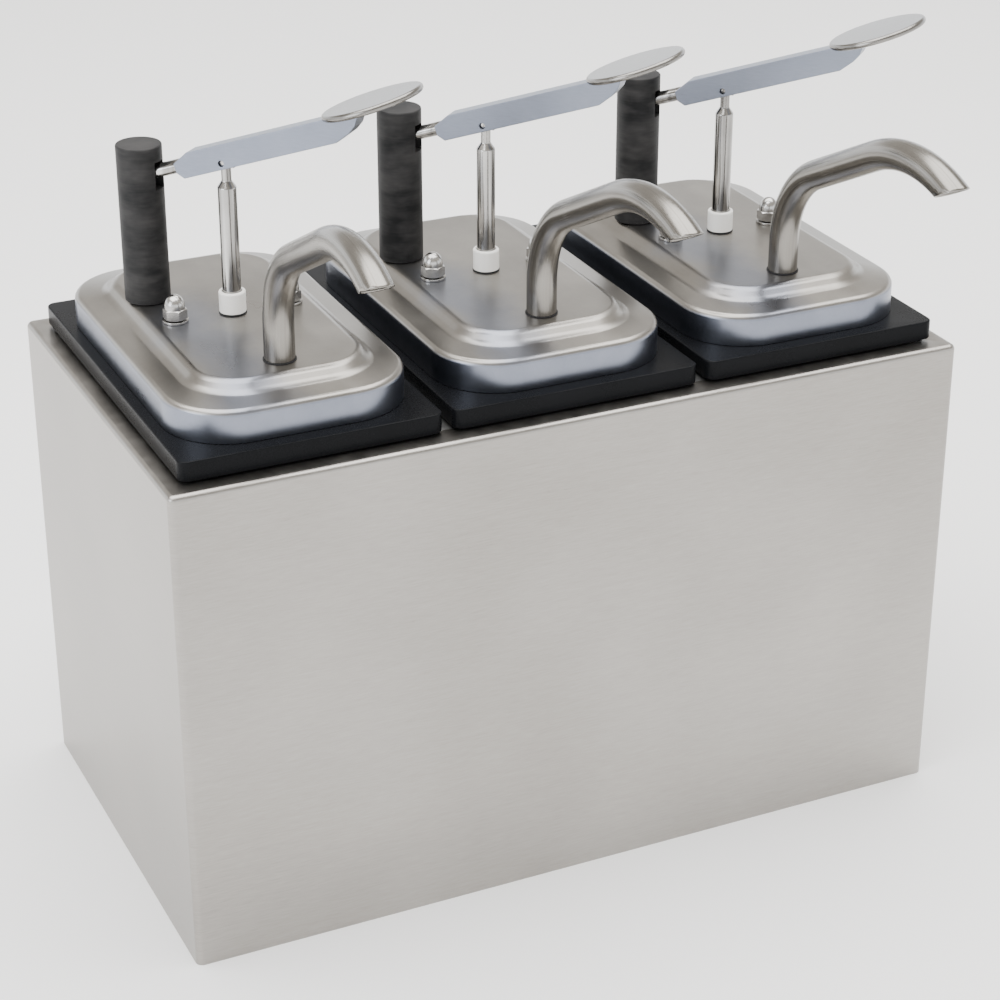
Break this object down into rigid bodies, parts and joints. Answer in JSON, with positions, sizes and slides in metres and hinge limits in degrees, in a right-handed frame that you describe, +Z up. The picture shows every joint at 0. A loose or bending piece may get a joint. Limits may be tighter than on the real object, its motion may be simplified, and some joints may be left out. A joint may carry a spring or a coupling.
{
  "type": "condiment pump dispenser",
  "caption": "Countertop condiment dispenser: a stainless casing with lift-out containers side by side, each under a pressed lid with a lever pump and an over-the-edge spout.",
  "frame": {"origin": "middle of the casing base, on the surface it stands on", "axes": "+Z up, +X along the front to the right, -Y towards the user, where the spouts point"},
  "size_m": [0.5247, 0.409, 0.5144],
  "materials": {
    "casing_steel": "fine brushed stainless sheet",
    "inner_steel": "plain stainless sheet",
    "lid_steel": "satin pressed stainless",
    "pad_steel": "satin ground stainless",
    "lever_steel": "satin bead-blasted stainless bar",
    "rod_steel": "polished turned stainless",
    "spout_steel": "satin polished bent tube",
    "fastener_steel": "bright stainless",
    "spring_steel": "drawn wire",
    "black_plastic": "satin moulded black",
    "post_plastic": "machined charcoal plastic",
    "white_plastic": "machined white plastic"
  },
  "bodies": {
    "casing": {"casing_shell": "casing_steel", "base_pan": "inner_steel", "support_frame": "inner_steel"},
    "container_1": {"container_1": "black_plastic"},
    "pump_1": {"lid_1": "lid_steel", "post_1": "post_plastic", "post_screw_1": "fastener_steel", "pivot_pin_1": "fastener_steel", "guide_bush_1": "white_plastic", "nut_left_1": "fastener_steel", "nut_right_1": "fastener_steel", "pump_body_1": "white_plastic", "foot_valve_1": "white_plastic", "return_spring_1": "spring_steel"},
    "lever_1": {"lever_1": "lever_steel", "pivot_rod_1": "rod_steel", "rod_pin_1": "fastener_steel", "thumb_pad_1": "pad_steel"},
    "plunger_1": {"push_rod_1": "rod_steel", "piston_1": "white_plastic"},
    "inlet_ball_1": {"valve_ball_1": "fastener_steel"},
    "spout_1": {"spout_1": "spout_steel"},
    "container_2": {"container_2": "black_plastic"},
    "pump_2": {"lid_2": "lid_steel", "post_2": "post_plastic", "post_screw_2": "fastener_steel", "pivot_pin_2": "fastener_steel", "guide_bush_2": "white_plastic", "nut_left_2": "fastener_steel", "nut_right_2": "fastener_steel", "pump_body_2": "white_plastic", "foot_valve_2": "white_plastic", "return_spring_2": "spring_steel"},
    "lever_2": {"lever_2": "lever_steel", "pivot_rod_2": "rod_steel", "rod_pin_2": "fastener_steel", "thumb_pad_2": "pad_steel"},
    "plunger_2": {"push_rod_2": "rod_steel", "piston_2": "white_plastic"},
    "inlet_ball_2": {"valve_ball_2": "fastener_steel"},
    "spout_2": {"spout_2": "spout_steel"},
    "container_3": {"container_3": "black_plastic"},
    "pump_3": {"lid_3": "lid_steel", "post_3": "post_plastic", "post_screw_3": "fastener_steel", "pivot_pin_3": "fastener_steel", "guide_bush_3": "white_plastic", "nut_left_3": "fastener_steel", "nut_right_3": "fastener_steel", "pump_body_3": "white_plastic", "foot_valve_3": "white_plastic", "return_spring_3": "spring_steel"},
    "lever_3": {"lever_3": "lever_steel", "pivot_rod_3": "rod_steel", "rod_pin_3": "fastener_steel", "thumb_pad_3": "pad_steel"},
    "plunger_3": {"push_rod_3": "rod_steel", "piston_3": "white_plastic"},
    "inlet_ball_3": {"valve_ball_3": "fastener_steel"},
    "spout_3": {"spout_3": "spout_steel"}
  },
  "joints": [
    {"name": "container_lift_1", "type": "slide", "parent": "casing", "child": "container_1", "axis": [0, 0, 1], "range_m": [0, 0.2]},
    {"name": "pump_lift_1", "type": "slide", "parent": "container_1", "child": "pump_1", "axis": [0, 0, 1], "range_m": [0, 0.2]},
    {"name": "lever_press_1", "type": "hinge", "parent": "pump_1", "child": "lever_1", "pos_m": [-0.2085, 0.0435, 0.4393], "axis": [0.7403, 0.6723, 0], "range_deg": [0, 22]},
    {"name": "plunger_slide_1", "type": "slide", "parent": "pump_1", "child": "plunger_1", "axis": [0, 0, 1], "range_m": [-0.0236, 0], "stiffness_N_per_m": 600, "springref_m": 0.03, "deforming": ["return_spring_1"]},
    {"name": "inlet_ball_lift_1", "type": "slide", "parent": "pump_1", "child": "inlet_ball_1", "axis": [0, 0, 1], "range_m": [0, 0.008]},
    {"name": "spout_swivel_1", "type": "hinge", "parent": "pump_1", "child": "spout_1", "pos_m": [-0.169, -0.08, 0.36], "axis": [0, 0, 1], "range_deg": [-20, 20]},
    {"name": "container_lift_2", "type": "slide", "parent": "casing", "child": "container_2", "axis": [0, 0, 1], "range_m": [0, 0.2]},
    {"name": "pump_lift_2", "type": "slide", "parent": "container_2", "child": "pump_2", "axis": [0, 0, 1], "range_m": [0, 0.2]},
    {"name": "lever_press_2", "type": "hinge", "parent": "pump_2", "child": "lever_2", "pos_m": [-0.0395, 0.0435, 0.4393], "axis": [0.7403, 0.6723, 0], "range_deg": [0, 22]},
    {"name": "plunger_slide_2", "type": "slide", "parent": "pump_2", "child": "plunger_2", "axis": [0, 0, 1], "range_m": [-0.0236, 0], "stiffness_N_per_m": 600, "springref_m": 0.03, "deforming": ["return_spring_2"]},
    {"name": "inlet_ball_lift_2", "type": "slide", "parent": "pump_2", "child": "inlet_ball_2", "axis": [0, 0, 1], "range_m": [0, 0.008]},
    {"name": "spout_swivel_2", "type": "hinge", "parent": "pump_2", "child": "spout_2", "pos_m": [0, -0.08, 0.36], "axis": [0, 0, 1], "range_deg": [-20, 20]},
    {"name": "container_lift_3", "type": "slide", "parent": "casing", "child": "container_3", "axis": [0, 0, 1], "range_m": [0, 0.2]},
    {"name": "pump_lift_3", "type": "slide", "parent": "container_3", "child": "pump_3", "axis": [0, 0, 1], "range_m": [0, 0.2]},
    {"name": "lever_press_3", "type": "hinge", "parent": "pump_3", "child": "lever_3", "pos_m": [0.1295, 0.0435, 0.4393], "axis": [0.7403, 0.6723, 0], "range_deg": [0, 22]},
    {"name": "plunger_slide_3", "type": "slide", "parent": "pump_3", "child": "plunger_3", "axis": [0, 0, 1], "range_m": [-0.0236, 0], "stiffness_N_per_m": 600, "springref_m": 0.03, "deforming": ["return_spring_3"]},
    {"name": "inlet_ball_lift_3", "type": "slide", "parent": "pump_3", "child": "inlet_ball_3", "axis": [0, 0, 1], "range_m": [0, 0.008]},
    {"name": "spout_swivel_3", "type": "hinge", "parent": "pump_3", "child": "spout_3", "pos_m": [0.169, -0.08, 0.36], "axis": [0, 0, 1], "range_deg": [-20, 20]}
  ],
  "couplings": [
    {"joint": "plunger_slide_1", "follows": "lever_press_1", "m_per_rad": -0.06042},
    {"joint": "plunger_slide_2", "follows": "lever_press_2", "m_per_rad": -0.06042},
    {"joint": "plunger_slide_3", "follows": "lever_press_3", "m_per_rad": -0.06042}
  ]
}
